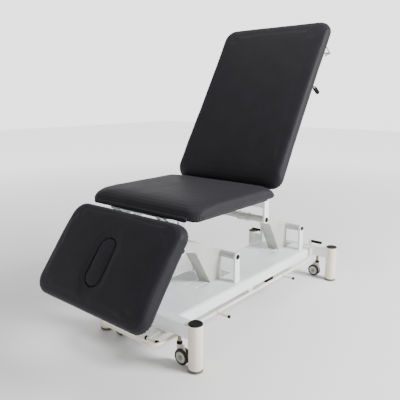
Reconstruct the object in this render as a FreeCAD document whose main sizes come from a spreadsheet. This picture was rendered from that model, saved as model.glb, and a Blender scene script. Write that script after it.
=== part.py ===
import FreeCAD, Part
import os
from math import cos, radians, sin

import Sketcher
from FreeCAD import Placement, Rotation, Vector

# Electric hi-lo treatment table in three sections, in millimetres.
# X runs along the table towards the back section, Z is up, the floor is at zero
# and the origin is under the middle of the base. The pose is a raised back,
# a lowered head section and the lift part of the way up.

doc = FreeCAD.newDocument("treatment_table")
sheet = doc.addObject("Spreadsheet::Sheet", "Sheet")

dims = dict(
    # Base frame
    leg_x=655, leg_y=291.5, leg_dia=63.5, leg_top=214, leg_wall=3, foot_height=14, foot_dia=66,
    leg_cap_height=5, leg_cap_dia=61, beam_depth=50, beam_height=60, beam_bottom=147, beam_wall=3,
    deck_top=200, deck_half=172, deck_sheet=4, deck_bend=18,
    slot_front=198, slot_rear=86, slot_width=12, slot_y=34, well_front=97,
    # Lift arms and their pivots
    pivot_front_x=-152, pivot_rear_x=531, pivot_z=337, arm_reach=418, arm_rise=141,
    arm_plate=8, arm_y=34, arm_tube_dia=36, arm_tube_half=130, shaft_dia=20, shaft_play=0.05,
    crank_x=-70, crank_z=-235, crank_pin_dia=16, crank_eye_dia=32,
    upright_y=138, upright_thick=12, upright_width=40, cap_dia=27, cap_height=7,
    tie_y=46, tie_thick=8, tie_height=28,
    # Lift actuator
    motor_x=230, motor_z=130, actuator_angle=2.1, actuator_bore=42, actuator_dia=50, actuator_length=275,
    actuator_rod_dia=16, actuator_rod_length=270,
    # Top frame
    rail_y=122, rail_width=20, rail_height=30, rail_top=652, rail_front_x=-690, rail_rear_x=140,
    outrigger_half=250, outrigger_width=40, outrigger_thick=6,
    hinge_z=653, head_hinge_x=-686, back_hinge_x=-76, hinge_pin_dia=12, hinge_eye_dia=20,
    hinge_half=176, side_rail_y=164, side_rail_width=20, side_rail_height=25, rail_root=50, root_step=12,
    # Upholstered sections
    back_angle=58.9, head_angle=52.9, width=650, cushion_thick=59, board_thick=12, board_inset=22,
    cushion_bottom=664, seat_front_x=-700, seat_rear_x=-84, waist=4, corner=55, nose_half=285,
    back_start=34, back_length=944, head_start=26, head_length=436,
    plug_length=210, plug_width=92, plug_at=235, plug_gap=0.6, plug_proud=-2,
    # Gas springs
    spring_dia=32, spring_bore=26, spring_rod_dia=9,
    back_spring_x=-50, back_spring_z=590, back_spring_reach=400,
    head_spring_x=-500, head_spring_z=570, head_spring_reach=130,
    # Castors
    castor_x=655, castor_y=200, wheel_dia=72, wheel_width=12, wheel_gap=22, castor_trail=18,
    castor_axle_z=40, stem_dia=16, stem_top=190, hood_top=94, axle_dia=8,
    # Foot bar and castor pedal
    bar_y=180, bar_z=126, bar_dia=16, bar_front_x=-786, bar_rear_x=584, bar_bend=40,
    bar_pivot_x=-60, peg_front_x=-370, peg_rear_x=242, peg_length=70, grip_z=262, grip_length=66,
    grip_dia=16, pedal_x=-688, pedal_z=138, pedal_y=-118, pedal_half=26, pedal_reach=54, pedal_drop=22,
)

for row, (name, value) in enumerate(dims.items(), 1):
    sheet.set(f"A{row}", name)
    sheet.set(f"B{row}", str(value))
    sheet.setAlias(f"B{row}", name)
doc.recompute()


class Size:
    """A length with its number and the sheet formula that gives it."""

    def __init__(self, value, text):
        self.value = value
        self.text = text

    def __add__(self, other):
        other = size(other)
        return Size(self.value + other.value, f"({self.text} + {other.text})")

    def __sub__(self, other):
        other = size(other)
        return Size(self.value - other.value, f"({self.text} - {other.text})")

    def __mul__(self, number):
        return Size(self.value * number, f"({self.text} * {number})")

    def __truediv__(self, number):
        return Size(self.value / number, f"({self.text} / {number})")

    def __neg__(self):
        return Size(-self.value, f"(-1 * {self.text})")

    def __radd__(self, other):
        return size(other) + self

    def __rsub__(self, other):
        return size(other) - self

    __rmul__ = __mul__


def size(value):
    return value if isinstance(value, Size) else Size(float(value), repr(float(value)))


class Sizes:
    """The sheet's cells by their aliases."""

    def __getattr__(self, alias):
        return Size(float(sheet.get(alias)), f"Sheet.{alias}")


s = Sizes()
nodes = []


def node(obj, label):
    obj.Label = label
    nodes.append(obj)
    return obj


def bind(obj, **values):
    for prop, value in values.items():
        obj.setExpression(prop, size(value).text)


def put(obj, x, y, z):
    for axis, value in zip("xyz", (x, y, z)):
        obj.setExpression(f"Placement.Base.{axis}", size(value).text)
    return obj


# Building blocks, each a document object bound to the sheet

def box(length, width, height, x, y, z):
    obj = doc.addObject("Part::Box", "Block")
    bind(obj, Length=length, Width=width, Height=height)
    return put(obj, x, y, z)


TURNS = {"x": Rotation(Vector(0, 1, 0), 90), "y": Rotation(Vector(1, 0, 0), -90), "z": Rotation()}


def rod(axis, dia, length, x, y, z):
    obj = doc.addObject("Part::Cylinder", "Rod")
    obj.Placement = Placement(Vector(), TURNS[axis])
    bind(obj, Radius=size(dia) / 2, Height=length)
    return put(obj, x, y, z)


def cross_rod(dia, half, x, z):
    return rod("y", dia, half * 2, x, -half, z)


def link(dia, length, start, towards):
    """A round bar of a given length from one point towards another, in the XZ plane."""
    obj = doc.addObject("Part::Cylinder", "Link")
    bind(obj, Radius=size(dia) / 2, Height=length)
    obj.Placement = Placement(start, Rotation(Vector(0, 0, 1), towards - start))
    return obj


def fuse(*shapes):
    obj = doc.addObject("Part::MultiFuse", "Joined")
    obj.Shapes = list(shapes)
    return obj


def cut(base, *tools):
    obj = doc.addObject("Part::Cut", "Cut")
    obj.Base = base
    obj.Tool = tools[0] if len(tools) == 1 else fuse(*tools)
    return obj


def group(*shapes):
    obj = doc.addObject("Part::Compound", "Set")
    obj.Links = list(shapes)
    return obj


def sketch(body, role, points):
    """A closed outline on one of the body's own planes, each corner held by two dimensions."""
    obj = body.newObject("Sketcher::SketchObject", "Outline")
    obj.AttachmentSupport = [(next(p for p in body.Origin.OriginFeatures if p.Role == role), "")]
    obj.MapMode = "FlatFace"
    corners = [(size(x), size(y)) for x, y in points]
    count = len(corners)
    for i in range(count):
        start, end = corners[i], corners[(i + 1) % count]
        obj.addGeometry(Part.LineSegment(
            Vector(start[0].value, start[1].value, 0), Vector(end[0].value, end[1].value, 0)))
    for i in range(count):
        obj.addConstraint(Sketcher.Constraint("Coincident", i, 2, (i + 1) % count, 1))
    for i, corner in enumerate(corners):
        for kind, value in zip(("DistanceX", "DistanceY"), corner):
            k = obj.addConstraint(Sketcher.Constraint(kind, -1, 1, i, 1, value.value))
            obj.setExpression(f"Constraints[{k}]", value.text)
    return obj


def plate(role, points, thick, rounds=()):
    """A flat plate, its outline on a plane of its own body and its thickness half to each side."""
    body = doc.addObject("PartDesign::Body", "Plate")
    outline = sketch(body, role, points)
    pad = body.newObject("PartDesign::Pad", "Pad")
    pad.Profile = outline
    pad.SideType = "Symmetric"
    bind(pad, Length=thick)
    doc.recompute()
    for radius, corners in rounds:
        base = body.Tip
        names = []
        for k, edge in enumerate(base.Shape.Edges, 1):
            middle = edge.CenterOfMass
            flat = (middle.x, middle.z) if role == "XZ_Plane" else (middle.y, middle.z)
            for i in corners:
                px, py = (size(v).value for v in points[i])
                if abs(flat[0] - px) < 1e-3 and abs(flat[1] - py) < 1e-3:
                    names.append(f"Edge{k}")
        fillet = body.newObject("PartDesign::Fillet", "Round")
        fillet.Base = (base, names)
        bind(fillet, Radius=radius)
        doc.recompute()
    return body


def turned(points):
    """A solid of revolution about Z from (radius, height) corners."""
    body = doc.addObject("PartDesign::Body", "Turned")
    outline = sketch(body, "XZ_Plane", points)
    spin = body.newObject("PartDesign::Revolution", "Spin")
    spin.Profile = outline
    spin.ReferenceAxis = (outline, ["V_Axis"])
    spin.Angle = 360
    return body


def point(x, z, y=0):
    return Vector(size(x).value, size(y).value, size(z).value)


# Base: two end beams on four posts, with a formed deck between them

def end_beam(sign):
    half = s.beam_depth / 2
    inside = s.beam_wall
    x = s.leg_x * sign - half
    outer = box(s.beam_depth, s.leg_y * 2, s.beam_height, x, -s.leg_y, s.beam_bottom)
    hollow = box(s.beam_depth - inside * 2, s.leg_y * 2, s.beam_height - inside * 2,
                 x + inside, -s.leg_y, s.beam_bottom + inside)
    posts = [rod("z", s.leg_dia, s.leg_top, s.leg_x * sign, s.leg_y * side, 0) for side in (-1, 1)]
    stems = [rod("z", s.stem_dia + 1, s.beam_height, s.castor_x * sign, s.castor_y * side,
                 s.beam_bottom - s.beam_height / 2) for side in (-1, 1)]
    return cut(outer, hollow, *posts, *stems)


node(end_beam(-1), "front_end_beam")
node(end_beam(1), "rear_end_beam")

for end, sign in (("front", -1), ("rear", 1)):
    for side, hand in (("right", -1), ("left", 1)):
        x, y = s.leg_x * sign, s.leg_y * hand
        post = cut(rod("z", s.leg_dia, s.leg_top - s.foot_height, x, y, s.foot_height),
                   rod("z", s.leg_dia - s.leg_wall * 2, s.leg_top, x, y, s.foot_height / 2))
        node(post, f"leg_post_{end}_{side}")

corners = [(sx, sy) for sx in (-1, 1) for sy in (-1, 1)]
feet = []
caps = []
for sx, sy in corners:
    radius = s.foot_dia / 2
    foot = turned([(0, 0), (radius - 3, 0), (radius, 3), (radius, s.foot_height - 2),
                   (s.leg_dia / 2, s.foot_height), (0, s.foot_height)])
    feet.append(put(foot, s.leg_x * sx, s.leg_y * sy, 0))
    rim = s.leg_dia / 2
    cap = turned([(0, -2), (rim - s.leg_wall - 0.3, -2), (rim - s.leg_wall - 0.3, 0), (rim, 0), (rim, 2.5),
                  (rim - 2, s.leg_cap_height), (rim - 6, s.leg_cap_height), (rim - 8, 3), (0, 3)])
    caps.append(put(cap, s.leg_x * sx, s.leg_y * sy, s.leg_top))
node(group(*feet), "leg_feet")
node(group(*caps), "leg_caps")

deck_edge = s.deck_half
deck_in = deck_edge - s.deck_sheet
deck_low = s.beam_bottom
deck_under = s.deck_top - s.deck_sheet
channel = plate("YZ_Plane", [
    (-deck_edge, deck_low), (-deck_edge, s.deck_top), (deck_edge, s.deck_top), (deck_edge, deck_low),
    (deck_in, deck_low), (deck_in, deck_under), (-deck_in, deck_under), (-deck_in, deck_low)],
    s.leg_x * 2 - s.beam_depth, [(s.deck_bend, (1, 2)), (s.deck_bend - s.deck_sheet, (5, 6))])
slots = [box(s.slot_front + s.slot_rear, s.slot_width, s.deck_sheet * 3, pivot - s.slot_front,
             s.slot_y * side - s.slot_width / 2, s.deck_top - s.deck_sheet * 2)
         for pivot in (s.pivot_front_x, s.pivot_rear_x) for side in (-1, 1)]
wells = [box(s.well_front + s.slot_rear, s.slot_y * 2 + s.slot_width, s.deck_sheet * 3, pivot - s.well_front,
             -s.slot_y - s.slot_width / 2, s.deck_top - s.deck_sheet * 2)
         for pivot in (s.pivot_front_x, s.pivot_rear_x)]
node(cut(channel, *slots, *wells), "deck")

# Uprights that carry the lift arms' lower pivots, their shafts and end caps

def pivot_plate(x, y, low, high, pivot):
    """A flat bar with a round end and a bore at the pivot."""
    half = s.upright_width / 2
    inner = y - s.upright_thick / 2
    bar = box(s.upright_width, s.upright_thick, high - low, x - half, inner, low)
    end = rod("y", s.upright_width, s.upright_thick, x, inner, pivot)
    bore = rod("y", s.shaft_dia, s.upright_thick * 3, x, inner - s.upright_thick, pivot)
    return cut(fuse(bar, end), bore)


def end_caps(x, z):
    reach = s.upright_y + s.upright_thick / 2
    made = []
    for side in (-1, 1):
        radius = s.cap_dia / 2
        cap = turned([(0, 0), (radius, 0), (radius, 2), (radius - 2, s.cap_height - 2),
                      (radius - 5, s.cap_height), (0, s.cap_height)])
        cap.Placement = Placement(Vector(), Rotation(Vector(1, 0, 0), -90 * side))
        made.append(put(cap, x, reach * side, z))
    return made


shaft_half = s.upright_y + s.upright_thick / 2
lower_caps = []
for end, x in (("front", s.pivot_front_x), ("rear", s.pivot_rear_x)):
    node(group(*[pivot_plate(x, s.upright_y * side, s.deck_top, s.pivot_z, s.pivot_z) for side in (-1, 1)]),
         f"{end}_uprights")
    node(cross_rod(s.shaft_dia, shaft_half, x, s.pivot_z), f"{end}_lower_shaft")
    lower_caps += end_caps(x, s.pivot_z)
node(group(*lower_caps), "lower_pivot_caps")


# Lift arms: bell cranks of two side plates, a web and two cross tubes

def lift_arm(x):
    z = s.pivot_z
    tip_x, tip_z = -s.arm_reach, s.arm_rise
    eye = s.crank_eye_dia / 2
    outline = [
        (20, 12), (-150, 88), (tip_x + 10, tip_z + 24), (tip_x - 22, tip_z + 16), (tip_x - 20, tip_z - 20),
        (-205, 52), (-91, -136), (s.crank_x - eye, s.crank_z - eye / 2),
        (s.crank_x - eye / 2, s.crank_z - eye), (s.crank_x + eye, s.crank_z - eye),
        (2, -138), (2, -22), (22, -10)]
    sides = []
    for hand in (-1, 1):
        side = plate("XZ_Plane", outline, s.arm_plate,
                     [(12, (2, 3, 4, 12)), (8, (7, 8, 9)), (30, (5, 6, 10)), (18, (0, 11)), (200, (1,))])
        sides.append(put(side, x, s.arm_y * hand, z))
    gap = s.arm_y * 2 - s.arm_plate
    web = plate("XZ_Plane", [(-203, 49), (-148, -32), (-92, -135), (-85, -135), (-142, -30), (-196, 52)], gap)
    tubes = [cross_rod(s.arm_tube_dia, s.arm_tube_half, x, z),
             cross_rod(s.arm_tube_dia, s.arm_tube_half, x + tip_x, z + tip_z)]
    pin = cross_rod(s.crank_pin_dia, s.tie_y + s.tie_thick / 2 + 2, x + s.crank_x, z + s.crank_z)
    bore = s.shaft_dia + s.shaft_play * 2
    bores = [cross_rod(bore, s.arm_tube_half + 5, x, z),
             cross_rod(bore, s.arm_tube_half + 5, x + tip_x, z + tip_z)]
    return cut(fuse(*sides, put(web, x, 0, z), *tubes, pin), *bores)


node(lift_arm(s.pivot_front_x), "front_lift_arm")
node(lift_arm(s.pivot_rear_x), "rear_lift_arm")

crank_front = s.pivot_front_x + s.crank_x
crank_rear = s.pivot_rear_x + s.crank_x
crank_level = s.pivot_z + s.crank_z


def tie_bar(hand):
    y = s.tie_y * hand - s.tie_thick / 2
    low = crank_level - s.tie_height / 2
    bar = box(crank_rear - crank_front, s.tie_thick, s.tie_height, crank_front, y, low)
    ends = [rod("y", s.tie_height, s.tie_thick, at, y, crank_level) for at in (crank_front, crank_rear)]
    bores = [rod("y", s.crank_pin_dia + s.shaft_play * 2, s.tie_thick * 3, at, y - s.tie_thick, crank_level)
             for at in (crank_front, crank_rear)]
    return cut(fuse(bar, *ends), *bores)


node(group(tie_bar(-1), tie_bar(1)), "tie_bars")

# Lift actuator under the deck: a hinged motor and tube, and a rod on the front crank

motor = point(s.motor_x, s.motor_z)
crank_pin = point(crank_front, crank_level)
pull = Vector(-cos(radians(s.actuator_angle.value)), 0, -sin(radians(s.actuator_angle.value)))
tube = cut(link(s.actuator_dia, s.actuator_length, motor + pull * 30, motor + pull * 60),
           link(s.actuator_bore, s.actuator_length, motor + pull * 50, motor + pull * 80))
gearbox = box(70, 44, 50, s.motor_x - 48, -22, s.motor_z - 28)
motor_can = rod("x", 40, 150, s.motor_x - 160, 0, s.motor_z - 50)
gear_case = box(40, 44, 54, s.motor_x - 40, -22, s.motor_z - 74)
clevis_bore = cross_rod(14 + s.shaft_play * 2, 60, s.motor_x, s.motor_z)
inside = link(s.actuator_bore, s.actuator_length, motor + pull * 50, motor + pull * 80)
node(cut(fuse(tube, gearbox, gear_case, motor_can), clevis_bore, inside), "lift_actuator")
bore = s.crank_pin_dia + s.shaft_play * 2
shank = fuse(link(s.actuator_rod_dia, s.actuator_rod_length, crank_pin, crank_pin - pull),
             cross_rod(30, 12, crank_front, crank_level))
node(cut(shank, cross_rod(bore, 30, crank_front, crank_level)), "actuator_rod")
clevis_height = s.deck_top - s.deck_sheet - s.motor_z + 18
cheeks = [box(36, 6, clevis_height, s.motor_x - 18, 26 * hand - 3, s.motor_z - 18) for hand in (-1, 1)]
node(fuse(*cheeks, cross_rod(14, 29, s.motor_x, s.motor_z),
          box(60, 58, 6, s.motor_x - 30, -29, s.deck_top - s.deck_sheet - 6)), "actuator_clevis")

# Control box under the deck with its cable inlet
node(fuse(box(66, 112, 70, 110, -162, 118), rod("x", 18, 16, 176, -106, 150)), "control_box")


# Top frame: two rails on four struts, with outriggers under the seat board

def seat_frame():
    low = s.rail_top - s.rail_height
    length = s.rail_rear_x - s.rail_front_x
    parts = []
    for hand in (-1, 1):
        inner = s.rail_y * hand - s.rail_width / 2
        parts.append(box(length, s.rail_width, s.rail_height, s.rail_front_x, inner, low))
        for at in (s.head_hinge_x, s.back_hinge_x):
            parts.append(rod("y", s.hinge_eye_dia, s.rail_width, at, inner, s.hinge_z))
    between = (s.rail_y - s.rail_width / 2) * 2
    for x in (s.rail_front_x + 90, s.head_spring_x - 15, s.back_spring_x - 50):
        parts.append(box(30, between, s.rail_height, x, -between / 2, low))
    for x in (s.seat_front_x + 90, s.seat_rear_x - 130):
        parts.append(box(s.outrigger_width, s.outrigger_half * 2, s.outrigger_thick, x, -s.outrigger_half,
                         s.rail_top - s.outrigger_thick))
    bores = [cross_rod(s.hinge_pin_dia, s.hinge_half, at, s.hinge_z)
             for at in (s.head_hinge_x, s.back_hinge_x)]
    return cut(fuse(*parts), *bores)


def struts(x):
    """Two plates that hang from the rails' outer sides to the upper pivots."""
    pivot = s.pivot_z + s.arm_rise
    top = s.rail_top - s.outrigger_thick
    return [pivot_plate(x, s.upright_y * hand, pivot, top, pivot) for hand in (-1, 1)]


def spring_bracket(x, z):
    """Two lugs under a cross bar with the pin of a gas spring between them."""
    low = s.rail_top - s.rail_height
    lugs = [box(62, 6, low - z + 12, x - 50, 22 * hand - 3, z - 12) for hand in (-1, 1)]
    return fuse(*lugs, cross_rod(10, 25, x, z))


node(seat_frame(), "seat_frame")
rear_strut_x = s.pivot_rear_x - s.arm_reach
stay_length = (s.upright_y - s.upright_thick / 2) * 2
stay = box(30, stay_length, 30, rear_strut_x - 15, -stay_length / 2, s.pivot_z + s.arm_rise + 66)
node(group(*struts(s.pivot_front_x - s.arm_reach)), "front_struts")
node(fuse(*struts(rear_strut_x), stay), "rear_struts")
back_bracket = spring_bracket(s.back_spring_x, s.back_spring_z)
head_bracket = spring_bracket(s.head_spring_x, s.head_spring_z)
node(group(back_bracket, head_bracket), "spring_brackets")
upper_caps = []
for end, x in (("front", s.pivot_front_x - s.arm_reach), ("rear", s.pivot_rear_x - s.arm_reach)):
    node(cross_rod(s.shaft_dia, shaft_half, x, s.pivot_z + s.arm_rise), f"{end}_upper_shaft")
    upper_caps += end_caps(x, s.pivot_z + s.arm_rise)
node(group(*upper_caps), "upper_pivot_caps")
node(cross_rod(s.hinge_pin_dia, s.hinge_half, s.back_hinge_x, s.hinge_z), "back_hinge_pin")
node(cross_rod(s.hinge_pin_dia, s.hinge_half, s.head_hinge_x, s.hinge_z), "head_hinge_pin")


# Cushions: pillows with drawn-in sides and round corners, lofted through level outlines

# Roll of an edge as (inwards, share of the thickness) from the lower edge to the crown
EDGE_ROLL = ((8, 0), (2, 0.085), (0, 0.19), (2, 0.32), (8, 0.49),
             (19, 0.66), (36, 0.8), (62, 0.9), (110, 0.97), (180, 1))
# The seat's front end falls away further, above its nose
FRONT_ROLL = (4, 4, 6, 10, 18, 32, 52, 80, 126, 190)


def prism(wire, way):
    return Part.Face(wire).extrude(way)


def arc(first, middle, last):
    return Part.Arc(first, middle, last).toShape()


def line(first, last):
    return Part.LineSegment(first, last).toShape()


def level_outline(start, end, half, radius, waist, z):
    """A rounded rectangle at one height, its long sides drawn in by the waist."""
    cut_in = radius * (1 - 0.5 ** 0.5)
    plan = ((start, half - radius), (start + cut_in, half - cut_in), (start + radius, half),
            ((start + end) / 2, half - waist),
            (end - radius, half), (end - cut_in, half - cut_in), (end, half - radius))
    near = [Vector(x, y, z) for x, y in plan]
    far = [Vector(x, -y, z) for x, y in plan]
    return Part.Wire([
        arc(*near[0:3]), arc(*near[2:5]), arc(*near[4:7]), line(near[6], far[6]),
        arc(far[6], far[5], far[4]), arc(far[4], far[3], far[2]), arc(far[2], far[1], far[0]),
        line(far[0], near[0])])


def pad(start, end, front=None):
    """A pillow from start to end along X; front gives other insets for its start."""
    half = s.width.value / 2
    thick = s.cushion_thick.value
    front = front or [inwards for inwards, share in EDGE_ROLL]
    most = (end - start) * 0.3
    levels = []
    for (inwards, share), ahead in zip(EDGE_ROLL, front):
        first, last = start + min(ahead, most), end - min(inwards, most)
        radius = min(s.corner.value + inwards / 4, (last - first) * 0.4)
        levels.append(level_outline(first, last, half - inwards, radius, s.waist.value, thick * share))
    return Part.makeLoft(levels, True, True)


def nose(front):
    """A rounded lip along the seat's front edge, from just below the pad to the foot of its roll."""
    half = s.nose_half.value
    foot, top = Vector(front + 1, -half, -9), Vector(front + 3, -half, 13)
    inner = [Vector(front + 20, -half, 13), Vector(front + 20, -half, 2), Vector(front + 1, -half, 2)]
    rim = Part.Wire([
        arc(foot, Vector(front - 6, -half, 2), top), line(top, inner[0]), line(inner[0], inner[1]),
        line(inner[1], inner[2]), line(inner[2], foot)])
    return prism(rim, Vector(0, half * 2, 0))


def swung(x, z, angle):
    """Turns a flat section about its hinge, a positive angle lifting the rear end."""
    hinge = point(x, z)
    turn = Placement(Vector(), Rotation(Vector(0, 1, 0), -angle))
    return Placement(hinge, Rotation()) * turn * Placement(-hinge, Rotation())


def solid(shape, placement):
    obj = doc.addObject("Part::Feature", "Pad")
    obj.Shape = shape
    obj.Placement = placement
    return obj


def raised(level, placement):
    return placement * Placement(Vector(0, 0, level), Rotation())


seat_turn = Placement()
back_turn = swung(s.back_hinge_x, s.hinge_z, s.back_angle.value)
head_turn = swung(s.head_hinge_x, s.hinge_z, s.head_angle.value)
level = s.cushion_bottom.value

seat_pad = pad(s.seat_front_x.value, s.seat_rear_x.value, FRONT_ROLL).fuse(nose(s.seat_front_x.value))
node(solid(seat_pad, raised(level, seat_turn)), "seat_cushion")
back_from = s.back_hinge_x + s.back_start
back_pad = pad(back_from.value, (back_from + s.back_length).value)
node(solid(back_pad, raised(level, back_turn)), "back_cushion")
head_from = s.head_hinge_x - s.head_start
head_to = head_from - s.head_length
hole_x = head_from - s.plug_at
head_pad = pad(head_to.value, head_from.value)


def oval(middle, length, width, low, high):
    """An upright prism with straight sides and round ends, its long way along X."""
    half = (length - width) / 2
    radius = width / 2
    ahead, behind = middle + half, middle - half
    a, b = Vector(ahead, -radius, low), Vector(ahead, radius, low)
    c, d = Vector(behind, radius, low), Vector(behind, -radius, low)
    rim = Part.Wire([
        Part.LineSegment(d, a).toShape(), Part.Arc(a, Vector(ahead + radius, 0, low), b).toShape(),
        Part.LineSegment(b, c).toShape(), Part.Arc(c, Vector(behind - radius, 0, low), d).toShape()])
    return Part.Face(rim).extrude(Vector(0, 0, high - low))


top = s.cushion_thick.value + s.plug_proud.value
gap = s.plug_gap.value * 2
hole = oval(hole_x.value, s.plug_length.value + gap, s.plug_width.value + gap, -40, top + 40)
plug = oval(hole_x.value, s.plug_length.value, s.plug_width.value, -s.board_thick.value, top)
plug = plug.makeFillet(9, [e for e in plug.Edges if e.BoundBox.ZMin > top - 0.01])
node(solid(head_pad.cut(hole), raised(level, head_turn)), "head_cushion")
node(solid(plug, raised(level, head_turn)), "face_hole_plug")


# Boards under the pads

def board(start, end, placement, opening=None):
    half = s.width.value / 2 - s.board_inset.value
    thick = s.board_thick.value
    low = Vector(min(start, end), -half, level - thick)
    sheet_shape = Part.makeBox(abs(end - start), half * 2, thick, low)
    upright = [e for e in sheet_shape.Edges if abs(e.tangentAt(e.FirstParameter).z) > 0.99]
    sheet_shape = sheet_shape.makeFillet(s.corner.value / 2, upright)
    if opening:
        through = opening.copy()
        through.translate(Vector(0, 0, level))
        sheet_shape = sheet_shape.cut(through)
    return solid(sheet_shape, placement)


inset = s.board_inset.value
node(board(s.seat_front_x.value + 34, s.seat_rear_x.value - 34, seat_turn), "seat_board")
node(board(back_from.value + 12, (back_from + s.back_length).value - inset, back_turn), "back_board")
node(board(head_from.value - 12, head_to.value + inset, head_turn, hole), "head_board")


# Frames of the two swinging sections, made flat and turned about their hinges

def section_frame(hinge_x, sign, length, bars, reach):
    low = s.rail_top - s.side_rail_height
    parts = []
    for hand in (-1, 1):
        inner = s.side_rail_y * hand - s.side_rail_width / 2
        x = hinge_x if sign > 0 else hinge_x - length
        parts.append(box(length - s.rail_root, s.side_rail_width, s.side_rail_height,
                         x + s.rail_root if sign > 0 else x, inner, low))
        parts.append(box(s.rail_root + 4, s.side_rail_width, s.side_rail_height - s.root_step,
                         hinge_x if sign > 0 else hinge_x - s.rail_root - 4, inner, low))
        parts.append(rod("y", s.hinge_eye_dia, s.side_rail_width, hinge_x, inner, s.hinge_z))
        parts.append(box(s.hinge_eye_dia / 2, s.side_rail_width, s.hinge_z - low,
                         hinge_x if sign > 0 else hinge_x - s.hinge_eye_dia / 2, inner, low))
    between = (s.side_rail_y - s.side_rail_width / 2) * 2
    for at in bars:
        parts.append(box(24, between, s.side_rail_height, hinge_x + at * sign - 12, -between / 2, low))
    for hand in (-1, 1):
        parts.append(box(24, 6, 26, hinge_x + reach * sign - 12, 22 * hand - 3, low - 20))
    parts.append(cross_rod(10, 25, hinge_x + reach * sign, low - 8))
    bore = cross_rod(s.hinge_pin_dia + s.shaft_play * 2, s.hinge_half + 10, hinge_x, s.hinge_z)
    return cut(fuse(*parts), bore)


def turn_to(obj, placement):
    holder = doc.addObject("Part::Compound", "Turned_section")
    holder.Links = [obj]
    holder.Placement = placement
    return holder


back_frame = section_frame(s.back_hinge_x, 1, s.back_length - 114, (s.back_spring_reach, 800),
                           s.back_spring_reach)
node(turn_to(back_frame, back_turn), "back_frame")
head_frame = section_frame(s.head_hinge_x, -1, s.head_length - 30, (s.head_spring_reach, 396),
                           s.head_spring_reach)
node(turn_to(head_frame, head_turn), "head_frame")


# Gas springs: a cylinder pinned to the top frame and a rod pinned to the section

def gas_spring(name, start, end, tube, length):
    way = (end - start).normalize()
    bore = 10 + s.shaft_play * 2
    body = cut(link(s.spring_dia, tube + 14, start - way * 14, end),
               link(s.spring_bore, tube, start + way * 16, end),
               cross_rod(bore, 30, start.x, start.z))
    eye = link(15, 12, end + Vector(0, -6, 0), end + Vector(0, 6, 0))
    node(body, f"{name}_spring_cylinder")
    node(cut(fuse(link(s.spring_rod_dia, length, end, start), eye), cross_rod(bore, 30, end.x, end.z)),
         f"{name}_spring_rod")


low_rail = s.rail_top - s.side_rail_height
back_pin = back_turn.multVec(point(s.back_hinge_x + s.back_spring_reach, low_rail - 8))
gas_spring("back", point(s.back_spring_x, s.back_spring_z), back_pin, 290, 300)
head_pin = head_turn.multVec(point(s.head_hinge_x - s.head_spring_reach, low_rail - 8))
gas_spring("head", point(s.head_spring_x, s.head_spring_z), head_pin, 195, 185)


# Castors: four stems on one lift, each with a swivelling hood and a pair of wheels

stems = [rod("z", s.stem_dia, s.stem_top - s.hood_top, s.castor_x * sx, s.castor_y * sy, s.hood_top)
         for sx, sy in corners]
node(group(*stems), "castor_stems")
for end, sign in (("front", -1), ("rear", 1)):
    for side, hand in (("right", -1), ("left", 1)):
        x = s.castor_x * sign
        y = s.castor_y * hand
        trail = y - s.castor_trail if end == "front" else y + s.castor_trail
        half = (s.wheel_gap - s.wheel_width) / 2 - 0.5
        side_view = [(-24, 30), (24, 30), (24, 60), (14, s.hood_top), (-14, s.hood_top), (-24, 60)]
        shell = plate("YZ_Plane", side_view, half * 2, [(8, (0, 1, 2, 3, 4, 5))])
        body = put(shell, x, (y + trail) / 2, 0)
        collar = rod("z", 26, 14, x, y, s.hood_top - 14)
        axle = rod("x", s.axle_dia, s.wheel_gap + s.wheel_width, x - (s.wheel_gap + s.wheel_width) / 2, trail,
                   s.castor_axle_z)
        node(fuse(body, collar, axle), f"castor_hood_{end}_{side}")
        wheels = []
        for place in (-1, 1):
            rim = s.wheel_dia / 2
            edge = s.wheel_width / 2
            wheel = turned([(s.axle_dia / 2 + s.shaft_play, -edge), (rim - 8, -edge), (rim - 7, 1 - edge),
                            (rim - 2, 1 - edge), (rim, 4 - edge), (rim, edge - 4), (rim - 2, edge - 1),
                            (rim - 7, edge - 1), (rim - 8, edge), (s.axle_dia / 2 + s.shaft_play, edge)])
            wheel.Placement = Placement(Vector(), TURNS["x"])
            wheels.append(put(wheel, x + s.wheel_gap / 2 * place, trail, s.castor_axle_z))
        node(group(*wheels), f"castor_wheels_{end}_{side}")


# Foot bar: one bent tube round the base with side pegs and upturned ends

def swept(points, radius, bend):
    """A round bar along straight runs joined by tangent arcs."""
    edges = []
    last = points[0]
    for before, corner, after in zip(points, points[1:], points[2:]):
        a = (before - corner).normalize()
        b = (after - corner).normalize()
        back = bend * ((1 + a.dot(b)) / (1 - a.dot(b))) ** 0.5
        start, end = corner + a * back, corner + b * back
        centre_way = (a + b).normalize()
        middle = corner + centre_way * ((back ** 2 + bend ** 2) ** 0.5 - bend)
        edges.append(Part.LineSegment(last, start).toShape())
        edges.append(Part.Arc(start, middle, end).toShape())
        last = end
    edges.append(Part.LineSegment(last, points[-1]).toShape())
    path = Part.Wire(edges)
    ring = Part.Wire(Part.Circle(points[0], points[1] - points[0], radius).toShape())
    return path.makePipeShell([ring], True, False)


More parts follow.
